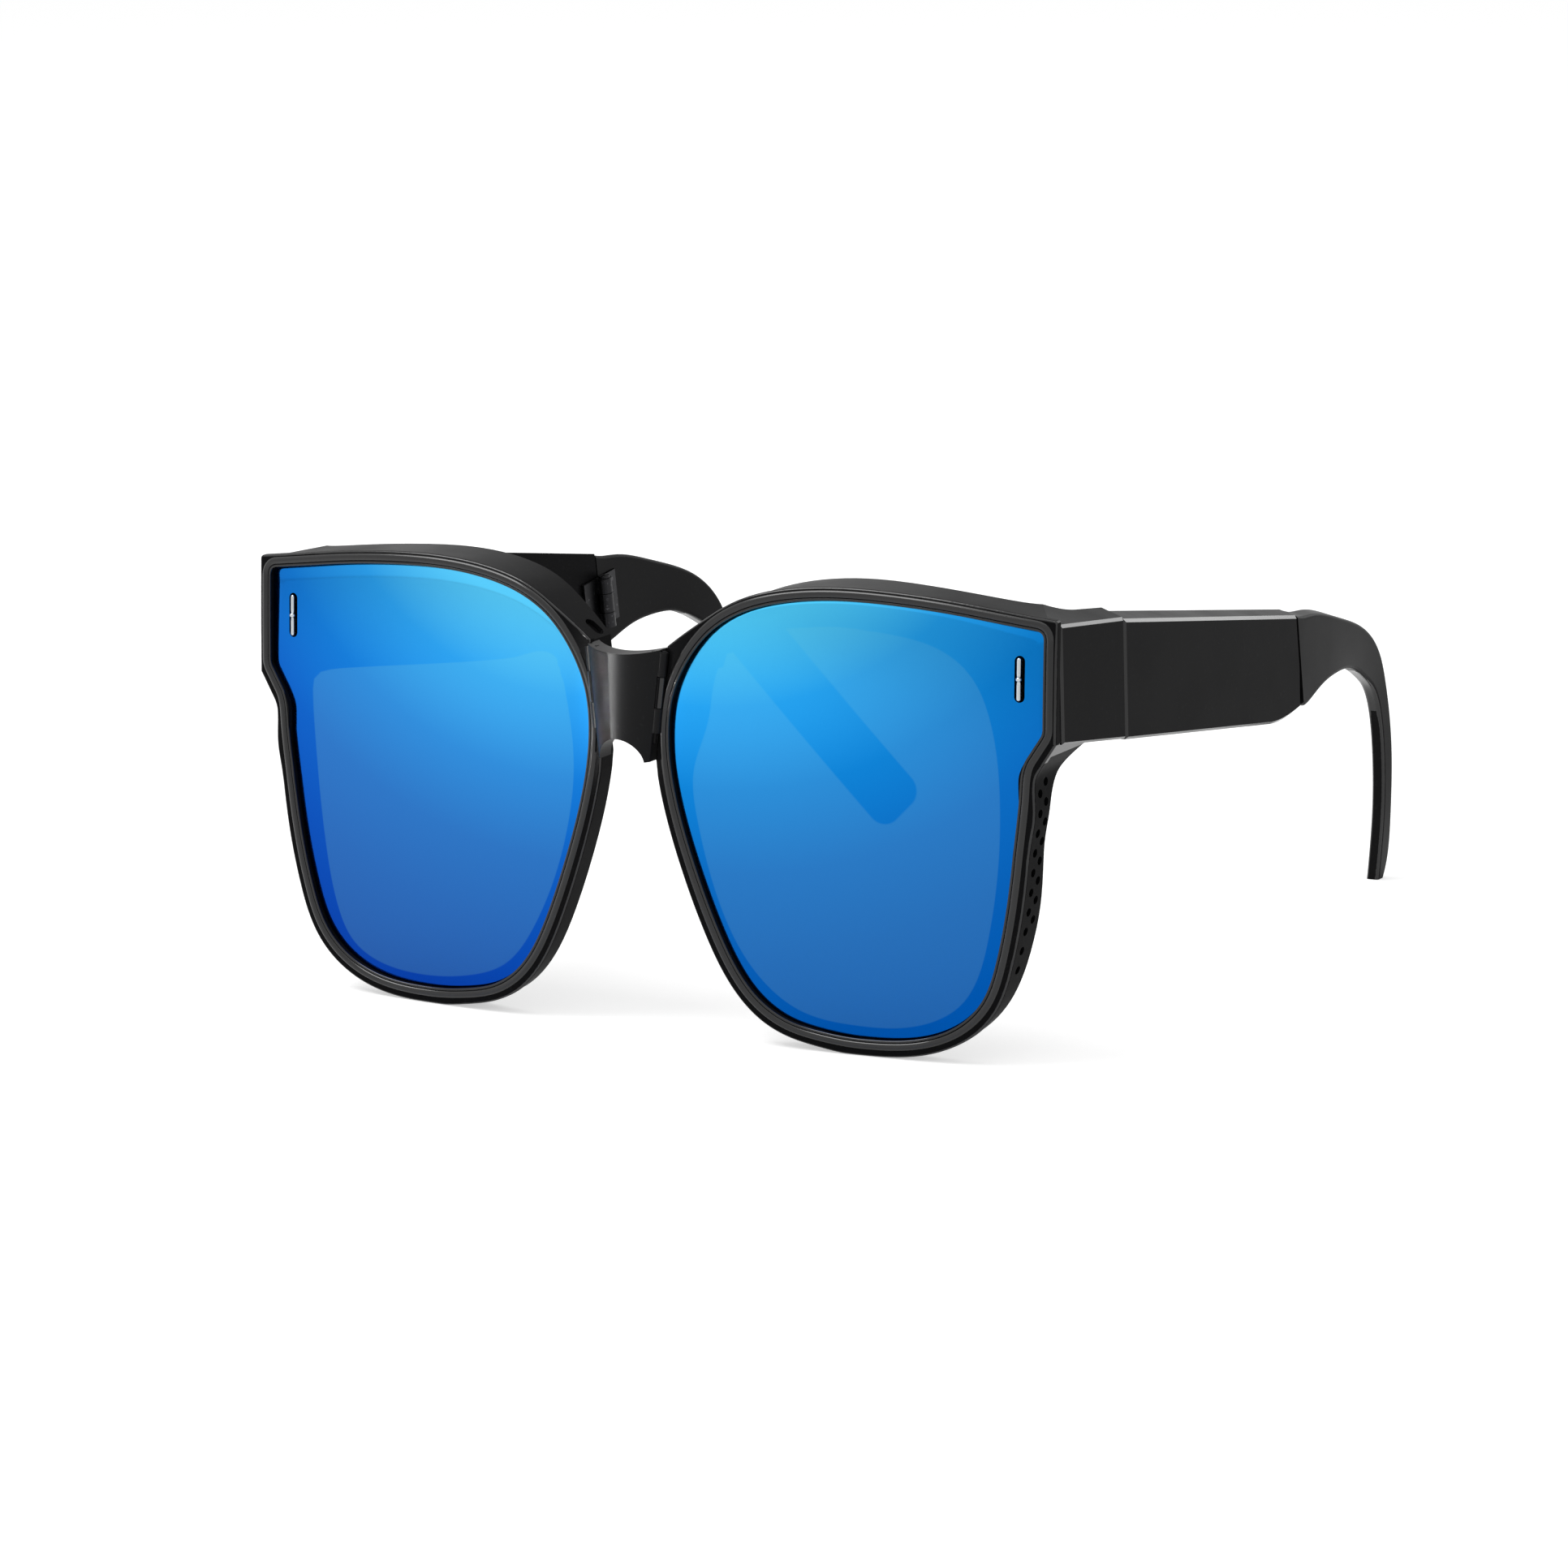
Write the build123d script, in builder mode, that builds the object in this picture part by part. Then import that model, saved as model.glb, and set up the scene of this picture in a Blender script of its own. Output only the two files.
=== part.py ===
"""Folding fit-over sunglasses: saddle bridge, two deep frame halves, two-piece temples.

Millimetres. The lenses face -Y, the temples run back along +Y and +Z is up. Left and right
are the wearer's, so the left half is at +X. The left pieces are modelled and the right ones
are their mirror images. The glasses stand on the two rims and the two temple tips at z = 0.
"""
from build123d import *
from math import cos, radians, sin, sqrt
import os

os.makedirs("parts", exist_ok=True)

# Overall depth, and how far the bridge stands ahead of the outer top corners of the front
overall_depth = 149.22
bridge_reach = 10.46
spare_length = 16.0
corner_y = bridge_reach - overall_depth / 2

# Lenses: outline box, its place, and the ball on which the front faces lie
lens_width = 65.7
lens_height = 70.55
lens_inner_x = 7.55
lens_thickness = 2.0
lens_corner_share = 0.957
lens_corner_radius = 1.5
notch_corner_radius = 1.0
front_radius = 600.0
front_stand_out = 5.7
wrap_share = 0.07
lean_share = 0.035

# Rims: lip, seat, ledge and walls
rim_side = 2.75
rim_brow = 2.1
lip_depth = 1.2
lip_step = 0.35
lens_recess = 1.0
lens_clearance = 0.06
ledge_width = 1.0
ledge_thickness = 1.2
cavity_margin = 0.45
side_mid_share = 0.7
lip_round = 0.4

# Rear edges of the walls, measured back from the outer top corner of the front
brow_wall_reach = 7.2
brow_mid_share = 0.94
brow_inner_reach = 1.0
side_wall_reach = 4.9
bottom_wall_reach = -2.0
nose_wall_reach = -2.7
nose_rise = 26.0
wall_tangent_shares = ((1.0, 4.0), (1.0, 0.12))

# Bridge-side land of the rim
land_top_inset = 0.3
land_top_drop = 9.3
land_bottom_inset = 2.45
land_bottom_drop = 27.9
brow_land_share = 0.69
nose_land_share = 0.10
land_tangent_shares = (-0.78, -0.62)
rim_corner_radius = 0.6

# End block and its panel
block_side = 2.2
block_taper = 0.8
block_wall = 4.05
block_length = 23.55
block_front_rise = 1.13365
block_rear_drop = 1.96635
block_front_height = 19.0
block_rear_height = 19.6
block_back_width = 7.5
brow_slope_share = 0.83
panel_groove = 0.9
panel_bevel = 0.4
flare_reach = 7.5

# Vents in the side wall
vent_radius = 0.7
vent_pitch = 3.2
vent_low_z = 15.5
vent_top_z = 47.5
vent_rear_rise = 6.4
vent_front_row = 2.75
vent_rear_row = 4.6

# Blind slot in the shoulder beside the bridge
slot_length = 3.6
slot_width = 2.2
slot_depth = 1.3
slot_from_land = 2.4
slot_from_edge = 1.7

# Lens inlay
rivet_length = 6.8
rivet_width = 1.15
rivet_gap = 0.3
rivet_proud = 0.25
rivet_from_side = 4.4
rivet_from_top = 10.75
rivet_nub_radius = 0.8

# Bridge
bridge_top_drop = 0.4
bridge_bottom_drop = 0.1
bridge_dip = 0.7
bridge_arch = 3.8
bridge_foot = 0.6
bridge_bulge = 2.5
bridge_thickness = 3.5
bridge_gap = 0.3

# Bridge hinges: a pin along each side of the bridge, parallel to the edge of the rim
pin_inset = 0.2
pin_lift = 0.35
pin_radius = 0.4
pin_proud = 0.15
pin_knuckle_radius = 0.85
pin_knuckle_end = 4.0
pin_knuckle_middle = 5.0
pin_mid_drop = 7.4
knuckle_gap = 0.12
knuckle_relief = 0.12
running_clearance = 0.05
seat_clearance = 0.01

# Temple hinges: steel leaves let into the plastic, knuckles and screws
hinge_offset = 1.4
leaf_thickness = 0.8
leaf_sink = 0.4
leaf_length = 5.2
leaf_set_back = 1.15
knuckle_radius = 1.3
screw_radius = 0.6
screw_head_radius = 1.0
screw_head_height = 0.45
screw_slot = 0.3
middle_knuckle_share = 0.38
end_hinge_height = 12.0
end_hinge_rise_share = 0.58
fold_hinge_height = 9.0
seam_gap = 0.3

# Temple front section
temple_length = 69.1
temple_front_thickness = 4.05
temple_seam_thickness = 3.3
temple_taper = 3.45
temple_top_step = 0.3
temple_bottom_step = 0.2
seam_drop = 12.3
seam_height_span = 15.4
seam_tilt = 7.0
temple_belly = 0.75
belly_share = 0.82
belly_end_shares = (1.0, 0.25)
seam_spare_share = 0.3
crown = 1.1
temple_bevel = 0.45

# Temple rear section
tip_reach = 44.0
tip_inward = 4.15
inward_shares = (0.535, 0.465)
hook_lean = 2.75
hook_lean_start_z = 24.0
tip_thickness = 2.4
section_round = 0.7
overrun = 2.0

# Values that follow from the sizes above
lens_bottom_z = rim_side
front_mid_y = corner_y - front_stand_out
lens_mid_x = lens_inner_x + lens_width / 2
lens_mid_z = lens_bottom_z + lens_height / 2
lens_outer_x = lens_inner_x + lens_width
lens_top_z = lens_bottom_z + lens_height
lens_corner_z = lens_bottom_z + lens_height * lens_corner_share
normal_length = sqrt(1 + wrap_share**2 + lean_share**2)
ball_x = lens_mid_x - front_radius * wrap_share / normal_length
ball_y = front_mid_y + front_radius / normal_length
ball_z = lens_mid_z - front_radius * lean_share / normal_length
seam_y = corner_y + block_length + seam_gap / 2
front_limit_y = corner_y - bridge_reach - overrun
rear_limit_y = corner_y + 2 * flare_reach
draw_depth = rear_limit_y - front_limit_y
back_plane = Plane.XZ.offset(-rear_limit_y)
lens_back = lens_recess + lens_thickness
land_top_x = lens_inner_x - land_top_inset
land_top_z = lens_top_z - land_top_drop
land_bottom_x = lens_inner_x - land_bottom_inset
land_bottom_z = lens_top_z - land_bottom_drop
bridge_top_z = land_top_z - bridge_top_drop
bridge_bottom_z = land_bottom_z - bridge_bottom_drop
pin_mid_z = land_top_z - pin_mid_drop
block_front_x = lens_outer_x + block_side
block_rear_x = block_front_x - block_taper
block_inner_x = block_rear_x - block_wall
block_front_top_z = lens_corner_z + block_front_rise
block_rear_top_z = lens_corner_z - block_rear_drop
block_front_bottom_z = block_front_top_z - block_front_height
block_rear_bottom_z = block_rear_top_z - block_rear_height
brow_slope_x = lens_inner_x + lens_width * brow_slope_share
temple_front_top_z = block_rear_top_z - temple_top_step
temple_front_bottom_z = block_rear_bottom_z - temple_bottom_step
seam_top_z = temple_front_top_z - seam_drop
seam_bottom_z = seam_top_z - seam_height_span
end_hinge_z = block_rear_bottom_z + block_rear_height * end_hinge_rise_share
rivet_x = lens_outer_x - rivet_from_side
rivet_z = lens_top_z - rivet_from_top


def front_y(x, z):
    """Y of the ball that carries the front faces of the left half."""
    return ball_y - sqrt(front_radius**2 - (x - ball_x) ** 2 - (z - ball_z) ** 2)


def behind_front(depth):
    """The block of space behind the front face, set back by a depth, around the left half."""
    with BuildPart() as space:
        with BuildSketch(back_plane):
            with Locations((block_front_x / 2, lens_mid_z)):
                Rectangle(block_front_x + 2 * overrun, lens_height + spare_length)
        extrude(amount=draw_depth)
        with Locations((ball_x, ball_y, ball_z)):
            Sphere(front_radius - depth, mode=Mode.INTERSECT)
    return space.part


def on_lens(across_share, up_share):
    """A point of the lens outline, from shares of the lens width and height."""
    return (lens_inner_x + lens_width * across_share, lens_bottom_z + lens_height * up_share)


# Curves of the left lens outline, across and up: brow, nose side and cheek side. The brow
# starts with a straight run from the outer corner, the cheek ends in the straight notch.
corner_share = (1.0, lens_corner_share)
brow_shares = [
    (0.880, 0.9715), (0.793, 0.982), (0.588, 0.998), (0.470, 1.0), (0.3045, 0.985),
    (0.209, 0.960), (0.122, 0.913), (0.056, 0.843), (0.013, 0.7595), (0.0, 0.664),
]
nose_shares = [
    (0.0, 0.664), (0.0247, 0.5016), (0.073, 0.359), (0.133, 0.220), (0.173, 0.147),
    (0.230, 0.0777), (0.309, 0.0297), (0.400, 0.0092), (0.517, 0.0),
]
cheek_shares = [
    (0.517, 0.0), (0.684, 0.0155), (0.7736, 0.0523), (0.841, 0.117), (0.877, 0.203),
    (0.912, 0.360), (0.9317, 0.5016), (0.942, 0.590), (0.961, 0.675),
]
notch_share = (1.0, 0.7305)
grow_shares = [step / 14 for step in range(15)]

corner_point = Vector(*on_lens(*corner_share))
notch_point = Vector(*on_lens(*notch_share))
brow_start = Vector(*on_lens(*brow_shares[0]))
cheek_end = Vector(*on_lens(*cheek_shares[-1]))
brow_run = brow_start - corner_point
notch_run = notch_point - cheek_end
brow_line = Spline(*[on_lens(*share) for share in brow_shares], tangents=[brow_run, (0, -1)])
nose_line = Spline(*[on_lens(*share) for share in nose_shares], tangents=[(0, -1), (1, 0)])
cheek_line = Spline(*[on_lens(*share) for share in cheek_shares], tangents=[(1, 0), notch_run])


def outward(direction):
    """Unit vector to the outside of an outline that runs counter-clockwise."""
    return direction.normalized().rotate(Axis.Z, -90)


def grown(line, amount, first_share=0.0, last_share=1.0):
    """A stretch of a curve moved outward by an amount."""
    span = last_share - first_share
    shares = [first_share + span * share for share in grow_shares]
    points = [line @ share + outward(line % share) * amount for share in shares]
    return Spline(*points, tangents=[line % first_share, line % last_share])


def level_at(point, run, amount, x):
    """Height at x of a straight run that is moved outward by an amount."""
    moved = point + outward(run) * amount
    return moved.Y + run.Y / run.X * (x - moved.X)


def lens_face(amount):
    """The lens outline grown or shrunk by an amount, at the rear limit."""
    side_x = lens_outer_x + amount
    corner = (side_x, level_at(corner_point, brow_run, amount, side_x))
    notch = (side_x, level_at(notch_point, notch_run, amount, side_x))
    brow = grown(brow_line, amount)
    nose = grown(nose_line, amount)
    cheek = grown(cheek_line, amount)
    with BuildSketch(back_plane) as face:
        with BuildLine():
            add(brow)
            add(nose)
            add(cheek)
            Line(cheek @ 1, notch)
            Line(notch, corner)
            Line(corner, brow @ 0)
        make_face()
        fillet(face.vertices().sort_by_distance(corner)[0], lens_corner_radius)
        fillet(face.vertices().sort_by_distance(notch)[0], notch_corner_radius)
    return face.sketch


def rim_face(inset):
    """The outer outline of the left rim, drawn in by an inset, at the rear limit."""
    brow = grown(brow_line, rim_brow - inset, 0.0, brow_land_share)
    nose = grown(nose_line, rim_side - inset, nose_land_share, 1.0)
    cheek = grown(cheek_line, rim_side - inset)
    side_x = block_front_x - inset
    corner = (side_x, level_at(corner_point, brow_run, rim_brow - inset, side_x))
    notch = (side_x, level_at(notch_point, notch_run, rim_side - inset, side_x))
    land_top = (land_top_x + inset, land_top_z - inset)
    land_bottom = (land_bottom_x + inset, land_bottom_z)
    with BuildSketch(back_plane) as face:
        with BuildLine():
            add(brow)
            Spline(brow @ 1, land_top, tangents=[brow % 1, land_tangent_shares])
            Line(land_top, land_bottom)
            Line(land_bottom, nose @ 0)
            add(nose)
            add(cheek)
            Line(cheek @ 1, notch)
            Line(notch, corner)
            Line(corner, brow @ 0)
        make_face()
        fillet(face.vertices().sort_by_distance(corner)[0], rim_corner_radius)
    return face.sketch


# Solids behind surfaces parallel to the front face, which trim the rim, the lens and the inlay
whole_half = behind_front(0)
behind_lip = behind_front(lip_depth)
behind_lens_face = behind_front(lens_recess)
behind_inlay_face = behind_front(lens_recess - rivet_proud)
behind_lens_back = behind_front(lens_back)
behind_seat = behind_front(lens_back + lens_clearance)
behind_ledge = behind_front(lens_back + ledge_thickness)
# Seen from the side the walls end in a curve that flares back under the end block
with BuildPart() as side_profile:
    with BuildSketch(Plane.YZ):
        with BuildLine():
            rear_curve = Spline(
                (corner_y + bottom_wall_reach, -overrun),
                (corner_y + side_wall_reach * side_mid_share, lens_mid_z * side_mid_share),
                (corner_y + side_wall_reach, land_bottom_z),
                (corner_y + 2 * flare_reach, block_front_bottom_z - overrun / 2),
                tangents=wall_tangent_shares,
            )
            Polyline(
                rear_curve @ 1,
                (rear_limit_y + overrun, lens_top_z + 2 * overrun),
                (front_limit_y, lens_top_z + 2 * overrun),
                (front_limit_y, -overrun),
                rear_curve @ 0,
            )
        make_face()
    extrude(amount=block_front_x + overrun)

# Seen from above the brow wall narrows to the bridge and flares into the end block
with BuildPart() as top_profile:
    with BuildSketch(Plane.XY.offset(-overrun)):
        with BuildLine():
            brow_curve = Spline(
                (0, corner_y + brow_inner_reach - overrun),
                (land_top_x, corner_y + brow_inner_reach),
                (2 * land_top_x, corner_y + brow_wall_reach / 2),
                (lens_mid_x, corner_y + brow_wall_reach * brow_mid_share),
                (block_inner_x - block_back_width, corner_y + brow_wall_reach),
                (block_inner_x, rear_limit_y),
                tangents=[(1, 0), (0, 1)],
            )
            Polyline(
                brow_curve @ 1,
                (block_front_x + overrun, rear_limit_y),
                (block_front_x + overrun, front_limit_y),
                (0, front_limit_y),
                brow_curve @ 0,
            )
        make_face()
    extrude(amount=lens_top_z + 4 * overrun)

# Beside the nose the wall ends close behind the lens. It deepens towards the cheek and the brow.
nose_rear_y = corner_y + nose_wall_reach
deeper_rear_y = corner_y + brow_inner_reach + overrun
with BuildPart() as nose_relief:
    with BuildSketch(Plane.XY.offset(-overrun)):
        with BuildLine():
            cheek_rise = Spline(
                (2 * land_top_x, nose_rear_y),
                (2 * land_top_x + nose_rise, deeper_rear_y),
                tangents=[(1, 0), (1, 1)],
            )
            Polyline(
                cheek_rise @ 1,
                (2 * land_top_x + nose_rise, rear_limit_y + overrun),
                (0, rear_limit_y + overrun),
                (0, nose_rear_y),
                cheek_rise @ 0,
            )
        make_face()
    extrude(amount=land_top_z + overrun)
    with BuildSketch(Plane.YZ):
        with BuildLine():
            brow_rise = Spline(
                (nose_rear_y, land_top_z - nose_rise),
                (deeper_rear_y, land_top_z),
                tangents=[(0, 1), (1, 1)],
            )
            Polyline(
                brow_rise @ 1,
                (rear_limit_y + overrun, land_top_z),
                (rear_limit_y + overrun, -overrun),
                (nose_rear_y, -overrun),
                brow_rise @ 0,
            )
        make_face()
    extrude(amount=2 * land_top_x + nose_rise, mode=Mode.INTERSECT)

# The top of the end block slopes inward and forward: one plane cuts both it and the brow. The
# second plane holds the straight run of the brow, above which the block doesn't rise.
panel_top_front = Vector(block_front_x, corner_y, block_front_top_z)
panel_top_rear = Vector(block_rear_x, corner_y + block_length, block_rear_top_z)
brow_top = Vector(brow_slope_x, corner_y + brow_wall_reach, lens_top_z + rim_brow - lip_step)
top_normal = (panel_top_rear - panel_top_front).cross(brow_top - panel_top_front)
top_plane = Plane(origin=panel_top_front, z_dir=top_normal)
brow_out = outward(brow_run)
brow_wall_top = brow_start + brow_out * (rim_brow - lip_step)
brow_plane = Plane(
    origin=(brow_wall_top.X, corner_y, brow_wall_top.Y),
    z_dir=(brow_out.X, 0, brow_out.Y),
)

# End block: tapered in both views, with bevelled panel edges. Its front lies a groove's width
# behind the lip outside and on the back of the lens seat inside.
block_mid_z = (block_front_top_z + block_front_bottom_z) / 2
block_side_x = block_inner_x - block_back_width
panel_start_y = front_y(block_front_x, block_mid_z) + lip_depth + panel_groove
block_start_y = front_y(block_side_x, block_mid_z) + lens_back
with BuildPart() as end_block:
    with BuildSketch(Plane.XY):
        with BuildLine():
            flare = Spline(
                (block_side_x, corner_y + brow_wall_reach - overrun),
                (block_inner_x, rear_limit_y),
                tangents=[(1, 0), (0, 1)],
            )
            Polyline(
                flare @ 1,
                (block_inner_x, corner_y + block_length),
                (block_rear_x, corner_y + block_length),
                (block_front_x, panel_start_y),
                (block_side_x, block_start_y),
                flare @ 0,
            )
        make_face()
    extrude(amount=lens_top_z + overrun)
    with BuildSketch(Plane.YZ):
        with BuildLine():
            Polyline(
                (front_limit_y, lens_top_z + overrun),
                (corner_y + block_length, lens_top_z + overrun),
                (corner_y + block_length, block_rear_bottom_z),
                (corner_y, block_front_bottom_z),
                (front_limit_y, block_front_bottom_z),
                close=True,
            )
        make_face()
    extrude(amount=block_front_x + overrun, mode=Mode.INTERSECT)
    split(bisect_by=top_plane, keep=Keep.BOTTOM)
    split(bisect_by=brow_plane, keep=Keep.BOTTOM)
    panels = end_block.faces().filter_by(GeomType.PLANE).sort_by(Axis.X)
    chamfer(panels[-1].edges(), panel_bevel)

# Left rim, first its parts: walls, lip, cavity behind the lens and the seat of the lens. Beside
# the end block the wall ends inside the panel.
panel_run = Vector(block_rear_x - block_front_x, corner_y + block_length - panel_start_y, 0)
panel_plane = Plane(
    origin=(block_front_x - panel_bevel, panel_start_y, block_mid_z),
    z_dir=panel_run.cross(Vector(0, 0, 1)),
)
with BuildPart() as rim_wall:
    extrude(rim_face(lip_step), amount=draw_depth)
    add(side_profile.part, mode=Mode.INTERSECT)
    add(top_profile.part, mode=Mode.INTERSECT)
    add(nose_relief.part, mode=Mode.SUBTRACT)
    add(behind_lip, mode=Mode.INTERSECT)
    split(bisect_by=top_plane, keep=Keep.BOTTOM)
    split(bisect_by=panel_plane, keep=Keep.BOTTOM)

with BuildPart() as rim_lip:
    extrude(rim_face(0), amount=draw_depth)
    add(whole_half, mode=Mode.INTERSECT)
    add(behind_lip, mode=Mode.SUBTRACT)
    lip_front = rim_lip.faces().filter_by(GeomType.SPHERE).sort_by(Axis.Y)[0]
    fillet(lip_front.edges(), lip_round)

with BuildPart() as rim_cavity:
    extrude(lens_face(cavity_margin), amount=draw_depth)
    add(behind_ledge, mode=Mode.INTERSECT)

with BuildPart() as lens_seat:
    extrude(lens_face(lens_clearance), amount=draw_depth)
    add(behind_seat, mode=Mode.SUBTRACT)

# Bridge hinge: its axis runs beside the slanted land of the rim, just ahead of the front face
land_slope = (land_top_x - land_bottom_x) / (land_top_z - land_bottom_z)


def land_x(z):
    """Inner edge of the left rim beside the bridge."""
    return land_bottom_x + land_slope * (z - land_bottom_z)


def pin_point(z):
    """A point of the left bridge hinge's axis."""
    x = land_x(z) - pin_inset
    return Vector(x, front_y(x, z) - pin_lift, z)


pin_origin = pin_point(pin_mid_z)
pin_direction = (pin_point(bridge_top_z) - pin_point(bridge_bottom_z)).normalized()
pin_back = pin_direction.cross(Vector(1, 0, 0)).normalized()
pin_plane = Plane(origin=pin_origin, x_dir=pin_back.cross(pin_direction), z_dir=pin_direction)
pin_low = -pin_knuckle_middle / 2 - knuckle_gap - pin_knuckle_end

with BuildPart() as rim_knuckle:
    with BuildSketch(pin_plane.offset(-pin_knuckle_middle / 2)):
        Circle(pin_knuckle_radius)
    extrude(amount=pin_knuckle_middle)

with BuildPart() as rim_relief:
    with BuildSketch(pin_plane.offset(pin_low - knuckle_gap), pin_plane.offset(pin_knuckle_middle / 2)):
        Circle(pin_knuckle_radius + knuckle_relief)
    extrude(amount=pin_knuckle_end + 2 * knuckle_gap)

with BuildPart() as bridge_relief:
    with BuildSketch(pin_plane.offset(-pin_knuckle_middle / 2 - knuckle_gap)):
        Circle(pin_knuckle_radius + knuckle_relief)
    extrude(amount=pin_knuckle_middle + 2 * knuckle_gap)

with BuildPart() as bridge_knuckles:
    with BuildSketch(pin_plane.offset(pin_low), pin_plane.offset(pin_knuckle_middle / 2 + knuckle_gap)):
        Circle(pin_knuckle_radius)
        with Locations((-pin_knuckle_radius, -pin_knuckle_radius / 2)):
            Rectangle(2 * pin_knuckle_radius, pin_knuckle_radius)
    extrude(amount=pin_knuckle_end)

with BuildPart() as left_bridge_pin:
    with BuildSketch(pin_plane.offset(pin_low)):
        Circle(pin_radius)
    extrude(amount=-2 * pin_low + pin_proud)

def hinge_leaf(plane, height, side, levels, bore_radius):
    """A leaf with knuckles: side is -1 ahead of the seam and 1 behind it."""
    plate_mid = (hinge_offset + leaf_sink - leaf_thickness / 2,
                 side * (leaf_set_back + leaf_length) / 2)
    web_mid = ((hinge_offset + leaf_sink) / 2, side * leaf_set_back / 2)
    with BuildPart() as leaf:
        with BuildSketch(plane.offset(-height / 2)):
            with Locations(plate_mid):
                Rectangle(leaf_thickness, leaf_length - leaf_set_back)
        extrude(amount=height)
        for low, high in levels:
            with BuildSketch(plane.offset(low)):
                Circle(knuckle_radius)
                with Locations(web_mid):
                    Rectangle(hinge_offset + leaf_sink, leaf_set_back + knuckle_gap)
            extrude(amount=high - low)
        with Locations(plane):
            Cylinder(bore_radius, 2 * height, mode=Mode.SUBTRACT)
    return leaf.part


def hinge_screw(plane, height):
    """A screw through the three knuckles, with a slotted head on top."""
    with BuildPart() as screw:
        with BuildSketch(plane.offset(-height / 2)):
            Circle(screw_radius)
        extrude(amount=height)
        with BuildSketch(plane.offset(height / 2)):
            Circle(screw_head_radius)
            Rectangle(screw_slot, 2 * screw_head_radius, mode=Mode.SUBTRACT)
        extrude(amount=screw_head_height)
        with BuildSketch(plane.offset(height / 2)):
            Circle(screw_head_radius)
        extrude(amount=screw_head_height / 2)
    return screw.part


def hinge_pocket(plane, height, side):
    """The recess that lets a leaf into the plastic on one side of the seam."""
    with BuildPart() as pocket:
        with BuildSketch(plane.offset(-height / 2 - knuckle_gap)):
            with Locations((0, side * (leaf_length + knuckle_gap) / 2)):
                Rectangle(2 * (hinge_offset + leaf_sink + seat_clearance), leaf_length + knuckle_gap)
        extrude(amount=height + 2 * knuckle_gap)
    return pocket.part


def hinge(plane, height):
    """Front leaf with the outer knuckles, rear leaf with the middle one, and the screw."""
    middle = height * middle_knuckle_share / 2
    outer_levels = ((-height / 2, -middle - knuckle_gap), (middle + knuckle_gap, height / 2))
    front = hinge_leaf(plane, height, -1, outer_levels, screw_radius + seat_clearance)
    rear = hinge_leaf(plane, height, 1, ((-middle, middle),), screw_radius + running_clearance)
    return front, rear, hinge_screw(plane, height)


# End hinge: upright axis inside the seam between end block and temple
end_plane = Plane(origin=(block_inner_x - hinge_offset, seam_y, end_hinge_z))
end_front_leaf, end_rear_leaf, end_screw = hinge(end_plane, end_hinge_height)

# Left rim: walls and lip, hollow behind the lens, with the end block, vents and bridge knuckle
with BuildPart() as left_rim:
    add(rim_wall.part)
    add(rim_lip.part)
    add(rim_cavity.part, mode=Mode.SUBTRACT)
    extrude(lens_face(-ledge_width), amount=draw_depth, mode=Mode.SUBTRACT)
    add(end_block.part)
    add(lens_seat.part, mode=Mode.SUBTRACT)
    add(rim_relief.part, mode=Mode.SUBTRACT)
    add(rim_knuckle.part)
    with Locations(pin_plane):
        Cylinder(pin_radius + running_clearance, 2 * pin_knuckle_middle, mode=Mode.SUBTRACT)
    vent_x = block_inner_x
    rear_low_z = vent_low_z + vent_rear_rise + vent_pitch / 2
    for row_depth, low_z in ((vent_front_row, vent_low_z), (vent_rear_row, rear_low_z)):
        for index in range(round((vent_top_z - low_z) / vent_pitch)):
            vent_z = low_z + vent_pitch * index
            vent_y = front_y(vent_x, vent_z) + row_depth
            with Locations(Plane(origin=(vent_x, vent_y, vent_z), z_dir=(1, 0, 0))):
                Cylinder(vent_radius, 4 * rim_side, mode=Mode.SUBTRACT)
    slot_run = Vector(-land_tangent_shares[0], 0, -land_tangent_shares[1]).normalized()
    slot_up = slot_run.cross(Vector(0, 1, 0)) * -1
    slot_edge = Vector(land_top_x, corner_y + brow_inner_reach - slot_from_edge, land_top_z)
    add(hinge_pocket(end_plane, end_hinge_height, -1), mode=Mode.SUBTRACT)
    with BuildSketch(Plane(slot_edge + slot_run * slot_from_land, x_dir=slot_run, z_dir=slot_up)):
        SlotOverall(slot_length, slot_width)
    extrude(amount=slot_depth, both=True, mode=Mode.SUBTRACT)

# Left lens: a shell cut from two balls, with a slot for the inlay
with BuildPart() as left_lens:
    extrude(lens_face(0), amount=draw_depth)
    add(behind_lens_face, mode=Mode.INTERSECT)
    add(behind_lens_back, mode=Mode.SUBTRACT)
    with BuildSketch(back_plane):
        with Locations((rivet_x, rivet_z)):
            SlotOverall(rivet_length + 2 * rivet_gap, rivet_width + 2 * rivet_gap, rotation=90)
    extrude(amount=draw_depth, mode=Mode.SUBTRACT)

# Inlay: a bar with a nub, on the seat behind the lens and a little proud of its face
with BuildPart() as left_lens_rivet:
    with BuildSketch(back_plane):
        with Locations((rivet_x, rivet_z)):
            SlotOverall(rivet_length, rivet_width, rotation=90)
            Circle(rivet_nub_radius)
    extrude(amount=draw_depth)
    add(behind_inlay_face, mode=Mode.INTERSECT)
    add(behind_seat, mode=Mode.SUBTRACT)

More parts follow.
